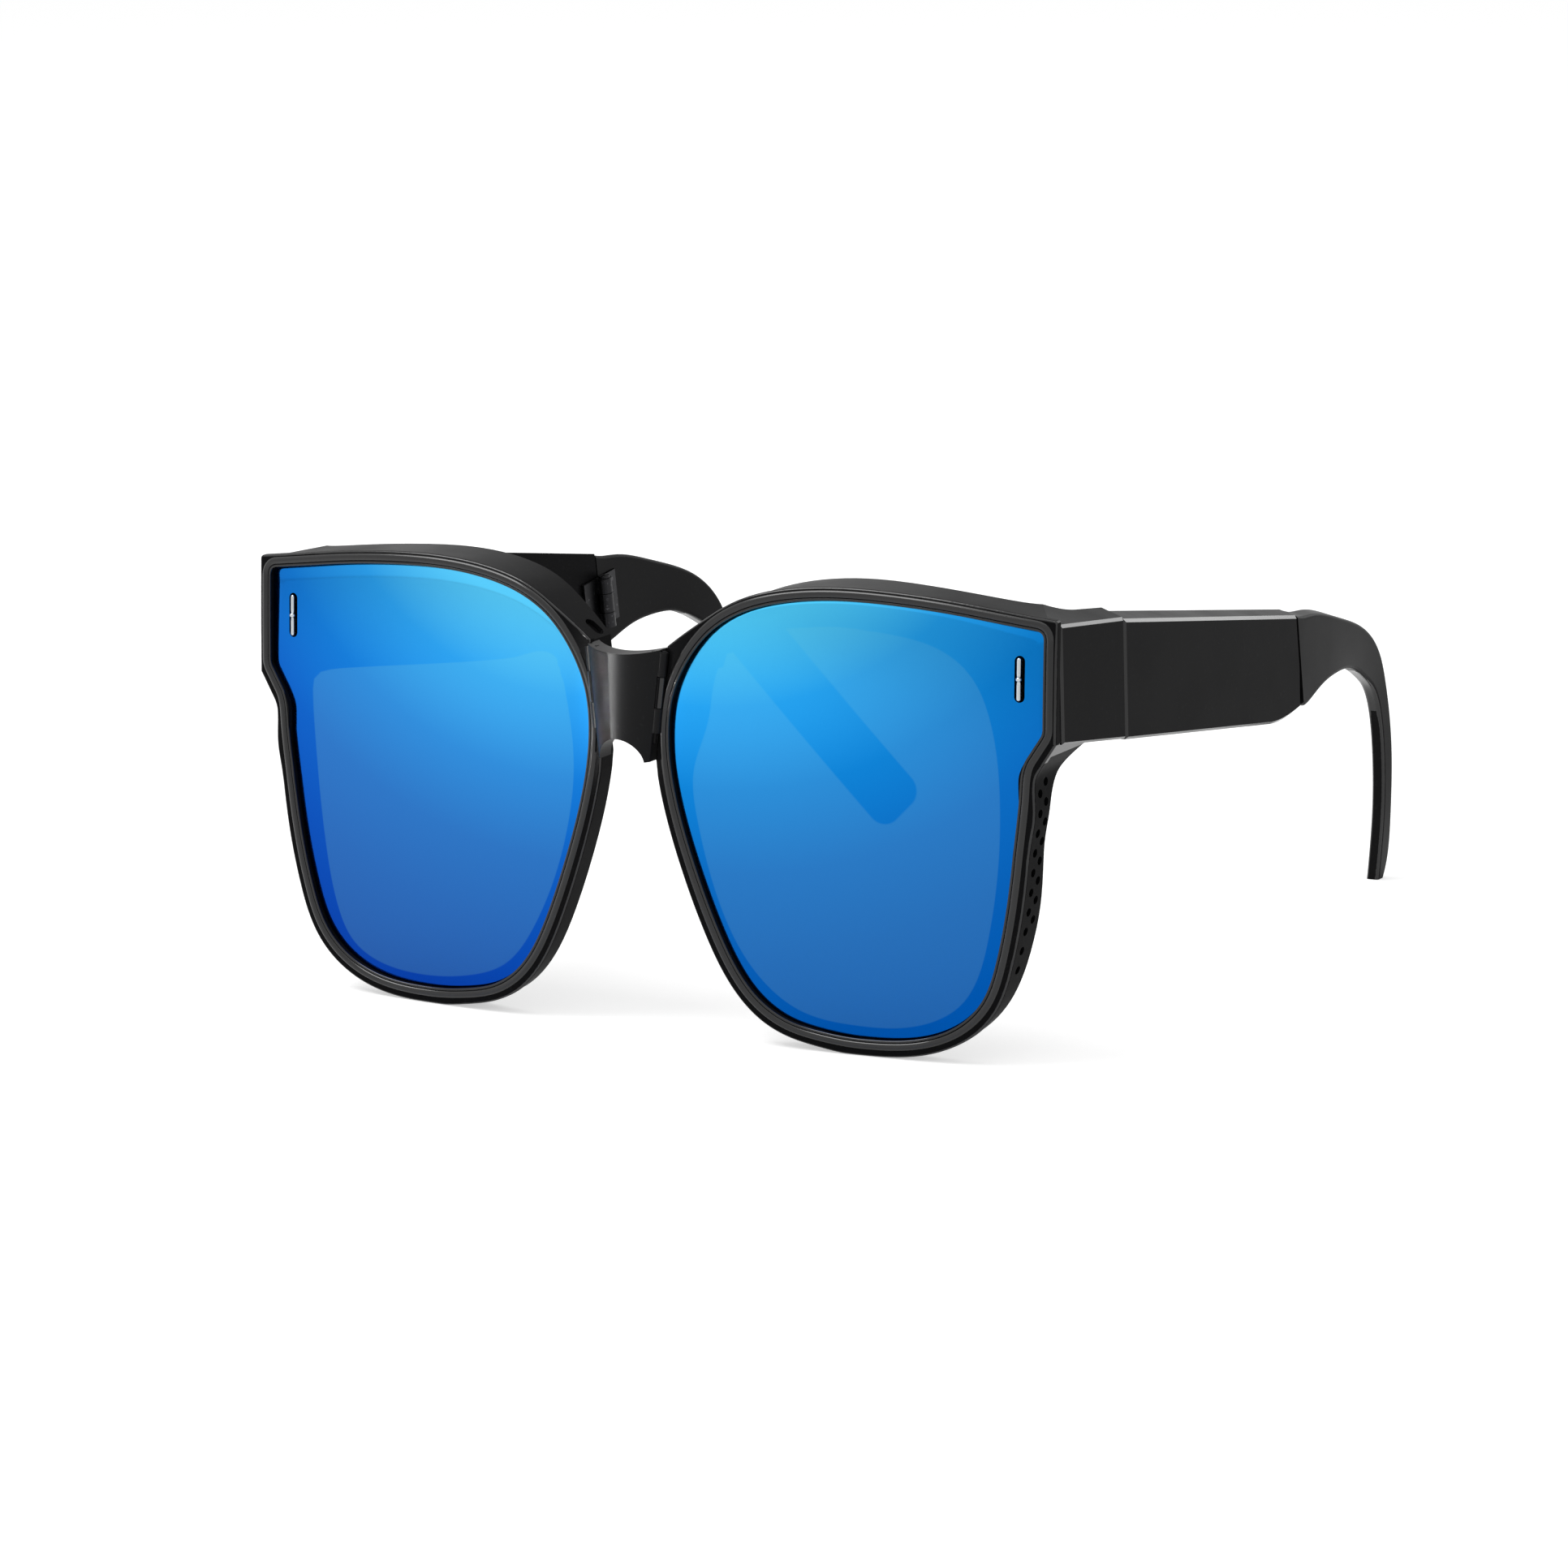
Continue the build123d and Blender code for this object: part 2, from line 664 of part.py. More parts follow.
# Bridge: crescent section along the lean of the front, slanted sides, arched foot
bridge_plane = Plane(
    origin=(0, pin_origin.Y, pin_mid_z),
    x_dir=(1, 0, 0),
    z_dir=(0, pin_direction.Y, pin_direction.Z),
)
bridge_half = land_x(bridge_top_z) - bridge_gap
bridge_foot_half = land_x(bridge_bottom_z) - bridge_gap
bridge_front = -pin_knuckle_radius
bridge_rear = bridge_front + bridge_thickness
bridge_height = bridge_top_z - bridge_bottom_z
with BuildPart() as bridge:
    for level in (-bridge_height, bridge_height):
        half = land_x(pin_mid_z + level) - bridge_gap
        with BuildSketch(bridge_plane.offset(level)):
            with BuildLine():
                ThreePointArc((-half, bridge_front), (0, bridge_front - bridge_bulge), (half, bridge_front))
                Line((half, bridge_front), (half, bridge_rear))
                ThreePointArc((half, bridge_rear), (0, bridge_rear - bridge_bulge), (-half, bridge_rear))
                Line((-half, bridge_rear), (-half, bridge_front))
            make_face()
    loft()
    with BuildSketch(back_plane):
        with BuildLine():
            ThreePointArc(
                (bridge_half, bridge_top_z),
                (0, bridge_top_z - bridge_dip),
                (-bridge_half, bridge_top_z),
            )
            Line((-bridge_half, bridge_top_z), (-bridge_foot_half, bridge_bottom_z))
            Line((-bridge_foot_half, bridge_bottom_z), (bridge_foot - bridge_foot_half, bridge_bottom_z))
            ThreePointArc(
                (bridge_foot - bridge_foot_half, bridge_bottom_z),
                (0, bridge_bottom_z + bridge_arch),
                (bridge_foot_half - bridge_foot, bridge_bottom_z),
            )
            Line((bridge_foot_half - bridge_foot, bridge_bottom_z), (bridge_foot_half, bridge_bottom_z))
            Line((bridge_foot_half, bridge_bottom_z), (bridge_half, bridge_top_z))
        make_face()
    extrude(amount=draw_depth, mode=Mode.INTERSECT)
    add(bridge_relief.part, mode=Mode.SUBTRACT)
    mirror(bridge_relief.part, about=Plane.YZ, mode=Mode.SUBTRACT)
    add(bridge_knuckles.part)
    mirror(bridge_knuckles.part, about=Plane.YZ)
    with BuildSketch(pin_plane.offset(pin_low - overrun)):
        Circle(pin_radius + seat_clearance)
    bores = extrude(amount=2 * bridge_height, mode=Mode.SUBTRACT)
    mirror(bores, about=Plane.YZ, mode=Mode.SUBTRACT)


# Fold hinge: axis along the slanted seam halfway down the temple
fold_y = seam_y + temple_length
fold_z = (seam_top_z + seam_bottom_z) / 2
fold_outer_x = block_rear_x - temple_taper
fold_inner_x = fold_outer_x - temple_seam_thickness
fold_direction = Vector(0, -sin(radians(seam_tilt)), cos(radians(seam_tilt)))
fold_plane = Plane(
    origin=(fold_inner_x - hinge_offset, fold_y, fold_z),
    x_dir=(1, 0, 0),
    z_dir=fold_direction,
)
fold_front_leaf, fold_rear_leaf, fold_screw = hinge(fold_plane, fold_hinge_height)

# Temple front section: tapered in both views, crowned top, bevelled outer face
temple_start_y = seam_y + seam_gap / 2
temple_end_y = fold_y - seam_gap / 2
seam_half = (seam_top_z - seam_bottom_z) / 2
seam_shift = sin(radians(seam_tilt)) * seam_half
spare_half = seam_half * seam_spare_share
spare_shift = seam_shift * seam_spare_share
temple_top_run = Vector(-temple_taper, temple_end_y - temple_start_y, seam_top_z - temple_front_top_z)
temple_cross_run = Vector(-temple_front_thickness, 0, crown)
temple_top_plane = Plane(
    origin=(block_rear_x, temple_start_y, temple_front_top_z),
    z_dir=temple_top_run.cross(temple_cross_run),
)
with BuildPart() as left_temple:
    with BuildSketch(Plane.YZ):
        with BuildLine():
            straight = Line(
                (temple_start_y, temple_front_bottom_z),
                (temple_start_y + temple_length * belly_share, seam_bottom_z - temple_belly),
            )
            belly = Spline(
                straight @ 1,
                (temple_end_y + seam_shift, seam_bottom_z),
                tangents=[straight % 1, belly_end_shares],
            )
            Polyline(
                belly @ 1,
                (temple_end_y - seam_shift - spare_shift, seam_top_z + spare_half),
                (temple_start_y, temple_front_top_z + overrun),
                straight @ 0,
            )
        make_face()
    extrude(amount=block_front_x + overrun)
    with BuildSketch(Plane.XY):
        with BuildLine():
            Polyline(
                (block_rear_x, temple_start_y),
                (fold_outer_x, fold_y),
                (fold_inner_x, fold_y),
                (block_rear_x - temple_front_thickness, temple_start_y),
                close=True,
            )
        make_face()
    extrude(amount=lens_top_z, mode=Mode.INTERSECT)
    split(bisect_by=temple_top_plane, keep=Keep.BOTTOM)
    outer_face = left_temple.faces().sort_by(Axis.X)[-1]
    chamfer(outer_face.edges(), temple_bevel)
    add(hinge_pocket(end_plane, end_hinge_height, 1), mode=Mode.SUBTRACT)
    add(hinge_pocket(fold_plane, fold_hinge_height, -1), mode=Mode.SUBTRACT)

# Temple rear section: stations along the middle of the arm and its hook. Each holds the
# distance back, the height, the depth of the section and the height of its crown as shares,
# and how far the section has turned from upright.
station_shares = [
    (0.0, 1.0, 1.0, 1.0, -seam_tilt),
    (0.152, 0.997, 0.877, 0.8, 0.0),
    (0.323, 0.992, 0.675, 0.6, 5.5),
    (0.482, 0.968, 0.549, 0.4, 21.0),
    (0.610, 0.934, 0.506, 0.3, 38.0),
    (0.731, 0.872, 0.471, 0.2, 54.0),
    (0.828, 0.790, 0.345, 0.1, 65.0),
    (0.891, 0.685, 0.265, 0.0, 76.0),
    (0.926, 0.5625, 0.253, 0.0, 86.0),
    (0.943, 0.396, 0.240, 0.0, 88.0),
    (0.966, 0.229, 0.240, 0.0, 86.0),
    (1.0, 0.0625, 0.234, 0.0, 84.0),
    (1.005, 0.0, 0.156, 0.0, 90.0),
]
seam_height = (seam_top_z - seam_bottom_z) / cos(radians(seam_tilt))
tip_start_y = fold_y + seam_gap / 2
with BuildPart() as left_temple_tip:
    for along_share, up_share, depth_share, crown_share, turn in station_shares:
        thickness = temple_seam_thickness + (tip_thickness - temple_seam_thickness) * along_share
        half_depth = seam_height * depth_share / 2
        height = fold_z * up_share
        lean = hook_lean * max(0.0, 1 - height / hook_lean_start_z) ** 2
        curve = inward_shares[0] * along_share + inward_shares[1] * along_share**2
        centre = Vector(
            fold_outer_x - tip_inward * curve - lean - thickness / 2,
            tip_start_y + tip_reach * along_share,
            height,
        )
        section_normal = Vector(0, -cos(radians(turn)), sin(radians(turn)))
        with BuildSketch(Plane(origin=centre, x_dir=(1, 0, 0), z_dir=section_normal)) as section:
            with BuildLine():
                Polyline(
                    (thickness / 2, -half_depth),
                    (thickness / 2, half_depth),
                    (-thickness / 2, half_depth + crown * crown_share),
                    (-thickness / 2, -half_depth),
                    close=True,
                )
            make_face()
            fillet(section.vertices(), min(section_round, half_depth / 2))
    loft()
    add(hinge_pocket(fold_plane, fold_hinge_height, 1), mode=Mode.SUBTRACT)

left_pieces = {
    "rim": left_rim.part,
    "lens": left_lens.part,
    "lens_rivet": left_lens_rivet.part,
    "bridge_pin": left_bridge_pin.part,
    "temple": left_temple.part,
    "temple_tip": left_temple_tip.part,
    "end_hinge_front_leaf": end_front_leaf,
    "end_hinge_rear_leaf": end_rear_leaf,
    "end_hinge_screw": end_screw,
    "fold_hinge_front_leaf": fold_front_leaf,
    "fold_hinge_rear_leaf": fold_rear_leaf,
    "fold_hinge_screw": fold_screw,
}

print("bridge hinge", pin_origin, pin_direction)
print("end hinge", end_plane.origin, end_plane.z_dir)
print("fold hinge", fold_plane.origin, fold_plane.z_dir)

bridge.part.label = "bridge"
export_step(bridge.part, "parts/bridge.step")
for piece_name, piece in left_pieces.items():
    right_piece = mirror(piece, about=Plane.YZ)
    for side_name, side_piece in (("left", piece), ("right", right_piece)):
        side_piece.label = f"{side_name}_{piece_name}"
        export_step(side_piece, f"parts/{side_piece.label}.step")
        print(side_piece.label, len(side_piece.solids()), round(side_piece.volume, 2))
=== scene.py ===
"""Folding fit-over sunglasses on a white studio floor. Metres, lenses to -Y, +Z up.

The file follows the glasses as they are put together: black frame halves, mirror lenses, the
lips round them and their inlays, bridge and its pins, temples with their hinges, and last the
studio and the camera. Left and right are the wearer's, so the left half is at +X.
"""
import math

import bmesh
import bpy
import numpy as np
from mathutils import Matrix, Vector


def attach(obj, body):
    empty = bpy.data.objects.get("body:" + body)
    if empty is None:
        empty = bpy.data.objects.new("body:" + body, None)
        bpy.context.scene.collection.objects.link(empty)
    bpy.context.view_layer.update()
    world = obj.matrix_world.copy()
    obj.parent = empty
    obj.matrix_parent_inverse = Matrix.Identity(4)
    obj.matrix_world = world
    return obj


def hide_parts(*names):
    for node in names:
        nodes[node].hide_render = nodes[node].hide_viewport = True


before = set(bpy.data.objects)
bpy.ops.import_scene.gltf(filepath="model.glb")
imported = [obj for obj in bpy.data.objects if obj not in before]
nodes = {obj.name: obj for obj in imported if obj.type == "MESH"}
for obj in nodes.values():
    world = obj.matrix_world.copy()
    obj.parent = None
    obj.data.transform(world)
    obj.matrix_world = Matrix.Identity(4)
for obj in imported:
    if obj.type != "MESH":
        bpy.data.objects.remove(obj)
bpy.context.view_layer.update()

# Frame halves: two deep rims, injection-moulded in black plastic and polished. Each holds its
# lens in a seat behind the lip, and has an end block for the temple and two rows of vents.

mm = 0.001
SIDES = (("left", 1), ("right", -1))
MOULD_BLACK = (0.006, 0.006, 0.0064, 1)
MOULD_SCUFFED = (0.01, 0.01, 0.0105, 1)
SMEARS_PER_METRE, DUST_PER_METRE, PEEL_PER_METRE = 70, 1500, 420
SMEARS_FROM, SMEARS_TO, DUST_FROM, DUST_TO = 0.4, 0.7, 0.62, 0.74
PEEL_HEIGHT, MOULD_PEEL, METAL_PEEL = 0.05 * mm, 0.03, 0.02
BUFFED_COAT_ROUGHNESS = 0.14

# A face counts as a rounded lip or a bevel where part of its normal is near a value: that value,
# and how near
LIP_FACES_FRONT = (-0.66, 0.27)
BEVEL_FACES_SIDE = (0.68, 0.24)
BEVEL_FACES_UP_OR_DOWN = (0.62, 0.28)
BLOCK_BEVELS_BEYOND = 73.5 * mm
NO_BEVELS_BEYOND = 9.0


def noise(tree, per_metre, detail):
    """A noise over the piece, fixed to its own coordinates."""
    place = tree.nodes.new("ShaderNodeTexCoord")
    node = tree.nodes.new("ShaderNodeTexNoise")
    node.inputs["Scale"].default_value = per_metre
    node.inputs["Detail"].default_value = detail
    tree.links.new(place.outputs["Object"], node.inputs["Vector"])
    return node.outputs["Fac"]


def remapped(tree, value, low, high, to_low, to_high):
    """A value carried from one range to another, held at both ends."""
    node = tree.nodes.new("ShaderNodeMapRange")
    node.inputs["From Min"].default_value = low
    node.inputs["From Max"].default_value = high
    for name, bound in (("To Min", to_low), ("To Max", to_high)):
        if isinstance(bound, (int, float)):
            node.inputs[name].default_value = bound
        else:
            tree.links.new(bound, node.inputs[name])
    tree.links.new(value, node.inputs["Value"])
    return node.outputs["Result"]


def blended(tree, share, first, second):
    """Two colours mixed by a share."""
    node = tree.nodes.new("ShaderNodeMix")
    node.data_type = "RGBA"
    tree.links.new(share, node.inputs["Factor"])
    for name, colour in (("A", first), ("B", second)):
        socket = [s for s in node.inputs if s.name == name and s.type == "RGBA"][0]
        if isinstance(colour, tuple):
            socket.default_value = colour
        else:
            tree.links.new(colour, socket)
    return [s for s in node.outputs if s.type == "RGBA"][0]


def value_math(tree, operation, first, second=None, third=None):
    """One step of arithmetic between values or sockets."""
    node = tree.nodes.new("ShaderNodeMath")
    node.operation = operation
    for i, term in enumerate((first, second, third)):
        if isinstance(term, (int, float)):
            node.inputs[i].default_value = term
        elif term is not None:
            tree.links.new(term, node.inputs[i])
    return node.outputs[0]


def axes_of(tree, output):
    """The three parts of a place or a normal of the surface, in the piece's own axes."""
    place = tree.nodes.new("ShaderNodeTexCoord")
    parts = tree.nodes.new("ShaderNodeSeparateXYZ")
    tree.links.new(place.outputs[output], parts.inputs[0])
    return parts.outputs


def buffed_edges(tree, beyond):
    """1 on rounded lips and on bevels that lie further out than a distance, and 0 elsewhere."""
    normal = axes_of(tree, "Normal")
    spot = axes_of(tree, "Object")
    lip = value_math(tree, "COMPARE", normal["Y"], *LIP_FACES_FRONT)
    side = value_math(tree, "COMPARE", value_math(tree, "ABSOLUTE", normal["X"]), *BEVEL_FACES_SIDE)
    level = value_math(tree, "ABSOLUTE", normal["Z"])
    level = value_math(tree, "COMPARE", level, *BEVEL_FACES_UP_OR_DOWN)
    out = value_math(tree, "GREATER_THAN", value_math(tree, "ABSOLUTE", spot["X"]), beyond)
    bevel = value_math(tree, "MULTIPLY", value_math(tree, "MULTIPLY", side, level), out)
    return value_math(tree, "MAXIMUM", lip, bevel)


def handled_surface():
    """Group: hand smears, dust and orange peel on a polished face, and where it is buffed."""
    group = bpy.data.node_groups.new("handled_surface", "ShaderNodeTree")
    for name, kind, value in (
        ("Colour", "NodeSocketColor", MOULD_BLACK),
        ("Scuffed Colour", "NodeSocketColor", MOULD_SCUFFED),
        ("Smooth", "NodeSocketFloat", 0.1),
        ("Smeared", "NodeSocketFloat", 0.3),
        ("Bevels Beyond", "NodeSocketFloat", NO_BEVELS_BEYOND),
    ):
        socket = group.interface.new_socket(name, in_out="INPUT", socket_type=kind)
        socket.default_value = value
    for name, kind in (
        ("Colour", "NodeSocketColor"),
        ("Roughness", "NodeSocketFloat"),
        ("Height", "NodeSocketFloat"),
        ("Edges", "NodeSocketFloat"),
    ):
        group.interface.new_socket(name, in_out="OUTPUT", socket_type=kind)
    enter = group.nodes.new("NodeGroupInput").outputs
    leave = group.nodes.new("NodeGroupOutput").inputs
    smears = noise(group, SMEARS_PER_METRE, 3)
    smears = remapped(group, smears, SMEARS_FROM, SMEARS_TO, enter["Smooth"], enter["Smeared"])
    specks = remapped(group, noise(group, DUST_PER_METRE, 2), DUST_FROM, DUST_TO, 0.0, 1.0)
    colour = blended(group, specks, enter["Colour"], enter["Scuffed Colour"])
    group.links.new(colour, leave["Colour"])
    group.links.new(smears, leave["Roughness"])
    group.links.new(noise(group, PEEL_PER_METRE, 1), leave["Height"])
    group.links.new(buffed_edges(group, enter["Bevels Beyond"]), leave["Edges"])
    return group


HANDLED_SURFACE = handled_surface()


def finished(name, colour, scuffed, smooth, smeared, specular, metallic=0.0, relief=0.0, buffed=None):
    """A material with the handled surface on a plain shader, and with buffed edges if asked."""
    material = bpy.data.materials.new(name)
    material.use_nodes = True
    tree = material.node_tree
    shader = tree.nodes["Principled BSDF"].inputs
    skin = tree.nodes.new("ShaderNodeGroup")
    skin.node_tree = HANDLED_SURFACE
    skin.inputs["Colour"].default_value = colour
    skin.inputs["Scuffed Colour"].default_value = scuffed
    skin.inputs["Smooth"].default_value = smooth
    skin.inputs["Smeared"].default_value = smeared
    bump = tree.nodes.new("ShaderNodeBump")
    bump.inputs["Strength"].default_value = relief
    bump.inputs["Distance"].default_value = PEEL_HEIGHT
    tree.links.new(skin.outputs["Height"], bump.inputs["Height"])
    tree.links.new(skin.outputs["Colour"], shader["Base Color"])
    tree.links.new(skin.outputs["Roughness"], shader["Roughness"])
    tree.links.new(bump.outputs["Normal"], shader["Normal"])
    shader["Metallic"].default_value = metallic
    shader["Specular IOR Level"].default_value = specular
    if buffed is not None:
        skin.inputs["Bevels Beyond"].default_value = buffed
        tree.links.new(skin.outputs["Edges"], shader["Coat Weight"])
        shader["Coat Roughness"].default_value = BUFFED_COAT_ROUGHNESS
    return material


def moulded_black(name, smooth, smeared, specular, buffed=None):
    """Black moulded plastic with a faint orange peel."""
    return finished(
        name, MOULD_BLACK, MOULD_SCUFFED, smooth, smeared, specular, relief=MOULD_PEEL, buffed=buffed,
    )


def dress(node_name, material):
    """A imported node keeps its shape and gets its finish."""
    mesh = nodes[node_name].data
    mesh.materials.clear()
    mesh.materials.append(material)


black_mould = moulded_black(
    "black_mould", smooth=0.28, smeared=0.36, specular=0.018, buffed=BLOCK_BEVELS_BEYOND,
)
for side, _ in SIDES:
    dress(f"{side}_rim", black_mould)

# Lenses: moulded shells on a ball's curve, with a blue mirror film on the front. The blue is the film's
# own, but its fall from palest beside the nose to deepest downwards is a painted reflection, and so is the
# pale veil inside its edge.

LENS_INNER_X, LENS_BOTTOM_Z = 7.55, 2.75
LENS_WIDTH, LENS_HEIGHT, LENS_THICK = 65.7, 70.55, 2.0
LENS_MIDDLE = (40.0, 38.0)
LENS_RECESS = 1.0
FRONT_RADIUS, FRONT_WRAP, FRONT_LEAN, FRONT_STANDS_OUT = 600.0, 0.07, 0.035, 5.7
CORNER_Y = -64.15

# Points of the outline, as shares of the lens width and height
BROW = [
    (0.880, 0.9715), (0.793, 0.982), (0.588, 0.998), (0.470, 1.0), (0.3045, 0.985),
    (0.209, 0.960), (0.122, 0.913), (0.056, 0.843), (0.013, 0.7595), (0.0, 0.664),
]
NOSE = [
    (0.0, 0.664), (0.0247, 0.5016), (0.073, 0.359), (0.133, 0.220), (0.173, 0.147),
    (0.230, 0.0777), (0.309, 0.0297), (0.400, 0.0092), (0.517, 0.0),
]
CHEEK = [
    (0.517, 0.0), (0.684, 0.0155), (0.7736, 0.0523), (0.841, 0.117), (0.877, 0.203),
    (0.912, 0.360), (0.9317, 0.5016), (0.942, 0.590), (0.961, 0.675),
]
NOTCH, CORNER = (1.0, 0.7305), (1.0, 0.957)
CURVE_POINTS = 90
NOTCH_ROUND, CORNER_ROUND, ROUND_POINTS = 0.8, 1.3, 7
POINTS_UP_THE_SIDE, POINTS_ALONG_THE_TOP = (0.2, 0.4, 0.6, 0.8), (0.35, 0.65)

normal_length = math.sqrt(1 + FRONT_WRAP**2 + FRONT_LEAN**2)
ball = (
    LENS_INNER_X + LENS_WIDTH / 2 - FRONT_RADIUS * FRONT_WRAP / normal_length,
    CORNER_Y - FRONT_STANDS_OUT + FRONT_RADIUS / normal_length,
    LENS_BOTTOM_Z + LENS_HEIGHT / 2 - FRONT_RADIUS * FRONT_LEAN / normal_length,
)


def on_front(x, z, depth):
    """The y of the ball behind the front face by a depth, in millimetres."""
    reach = (FRONT_RADIUS - depth) ** 2 - (x - ball[0]) ** 2 - (z - ball[2]) ** 2
    return ball[1] - math.sqrt(reach)


def behind_front(sign, x, z, depth):
    """A place in metres on either half, behind the front face by a depth."""
    return (sign * x * mm, on_front(x, z, depth) * mm, z * mm)


def curve_through(points, start, end, count):
    """Points on a smooth cubic through the given points, with both end directions."""
    points = np.array(points, float)
    steps = np.linalg.norm(np.diff(points, axis=0), axis=1)
    at = np.concatenate(([0], np.cumsum(steps)))
    size = len(points)
    matrix = np.zeros((size, size))
    right = np.zeros_like(points)
    matrix[0, 0] = matrix[-1, -1] = 1
    right[0] = np.array(start, float) / np.linalg.norm(start)
    right[-1] = np.array(end, float) / np.linalg.norm(end)
    for i in range(1, size - 1):
        before, after = steps[i - 1], steps[i]
        matrix[i, i - 1 : i + 2] = 1 / before, 2 / before + 2 / after, 1 / after
        right[i] = 3 * (points[i] - points[i - 1]) / before**2 + 3 * (points[i + 1] - points[i]) / after**2
    slopes = np.linalg.solve(matrix, right)
    found = []
    for t in np.linspace(0, at[-1], count):
        i = min(int(np.searchsorted(at, t, side="right")) - 1, size - 2)
        s = (t - at[i]) / steps[i]
        found.append(
            (2 * s**3 - 3 * s**2 + 1) * points[i]
            + (s**3 - 2 * s**2 + s) * steps[i] * slopes[i]
            + (3 * s**2 - 2 * s**3) * points[i + 1]
            + (s**3 - s**2) * steps[i] * slopes[i + 1]
        )
    return found


def rounded_corner(before, corner, after, radius):
    """Points on a small arc that takes the place of a corner."""
    into = (before - corner) / np.linalg.norm(before - corner)
    away = (after - corner) / np.linalg.norm(after - corner)
    start, end = corner + into * radius, corner + away * radius
    shares = np.linspace(0, 1, ROUND_POINTS)
    return [(1 - s) ** 2 * start + 2 * s * (1 - s) * corner + s**2 * end for s in shares]


def placed(shares):
    """Shares of the lens size turned into millimetres."""
    return [np.array((LENS_INNER_X + LENS_WIDTH * a, LENS_BOTTOM_Z + LENS_HEIGHT * b)) for a, b in shares]


def lens_outline():
    """The left lens outline seen from the front, counter-clockwise, in millimetres."""
    brow, nose, cheek = placed(BROW), placed(NOSE), placed(CHEEK)
    notch, corner = placed([NOTCH, CORNER])
    loop = curve_through(brow, brow[0] - corner, (0, -1), CURVE_POINTS)[:-1]
    loop += curve_through(nose, (0, -1), (1, 0), CURVE_POINTS)[:-1]
    loop += curve_through(cheek, (1, 0), notch - cheek[-1], CURVE_POINTS)
    loop += rounded_corner(cheek[-1], notch, corner, NOTCH_ROUND)
    loop += [notch + (corner - notch) * s for s in POINTS_UP_THE_SIDE]
    loop += rounded_corner(notch, corner, brow[0], CORNER_ROUND)
    loop += [corner + (brow[0] - corner) * s for s in POINTS_ALONG_THE_TOP]
    return np.array(loop)


def seen_from_middle(loop):
    """Directions and distances of a loop's points from the lens middle."""
    away = loop - np.array(LENS_MIDDLE)
    return np.arctan2(away[:, 1], away[:, 0]), np.linalg.norm(away, axis=1)


# Edge of the pale veil, a painted reflection, on each lens, as it would lie on the left lens
PAINTED_REFLECTION_OUTLINES = {
    "left": [
        (29.0, 68.2), (37.0, 69.0), (45.7, 68.5), (55.2, 66.5), (60.4, 62.9), (64.1, 55.5), (65.7, 44.0),
        (63.6, 21.0), (58.6, 9.6), (49.3, 5.1), (40.0, 4.6), (30.0, 6.2), (21.4, 12.8), (15.4, 24.2),
        (12.2, 36.0), (11.6, 44.0), (14.3, 52.2), (15.8, 60.0), (19.5, 65.2),
    ],
    "right": [
        (16.9, 61.2), (21.7, 60.0), (26.6, 59.0), (56.9, 54.9), (61.8, 54.0), (64.1, 52.9), (64.7, 50.0),
        (64.4, 43.5), (62.5, 23.1), (60.6, 14.0), (58.4, 9.4), (44.0, 4.4), (34.0, 5.3), (26.0, 8.2),
        (19.6, 15.5), (12.2, 34.0), (11.1, 42.0), (13.0, 57.0), (14.6, 60.5),
    ],
}
PAINTED_REFLECTION_POINTS = 400

# Rings of the shell from the middle of the front to the middle of the back. Each has a mark: up
# to PAINTED_REFLECTION_MARK on the painted reflection, up to EDGE_MARK on the border, and over BACK_FROM
# on the back.
PAINTED_REFLECTION_MARK, EDGE_MARK, WALL_MARK, BACK_EDGE_MARK, BACK_MARK = 0.5, 1.0, 1.2, 1.3, 1.5
BACK_FROM = 1.25
PAINTED_REFLECTION_RINGS = (0.1, 0.25, 0.4, 0.55, 0.7, 0.8, 0.88, 0.94, 0.97, 0.985, 1.0)
BORDER_RINGS = (0.06, 0.12, 0.3, 0.6, 0.85)
EDGE_RINGS = (
    (0.12, 0.0, EDGE_MARK),
    (0.03, 0.04, EDGE_MARK),
    (0.0, 0.14, EDGE_MARK),
    (0.0, LENS_THICK - 0.1, WALL_MARK),
    (0.1, LENS_THICK, BACK_EDGE_MARK),
)
BACK_RINGS = (0.8, 0.5, 0.2)


def standing(name, mesh):
    """An object in the scene from a finished mesh."""
    bmesh.ops.recalc_face_normals(mesh, faces=mesh.faces)
    data = bpy.data.meshes.new(name)
    mesh.to_mesh(data)
    mesh.free()
    made = bpy.data.objects.new(name, data)
    bpy.context.scene.collection.objects.link(made)
    return made


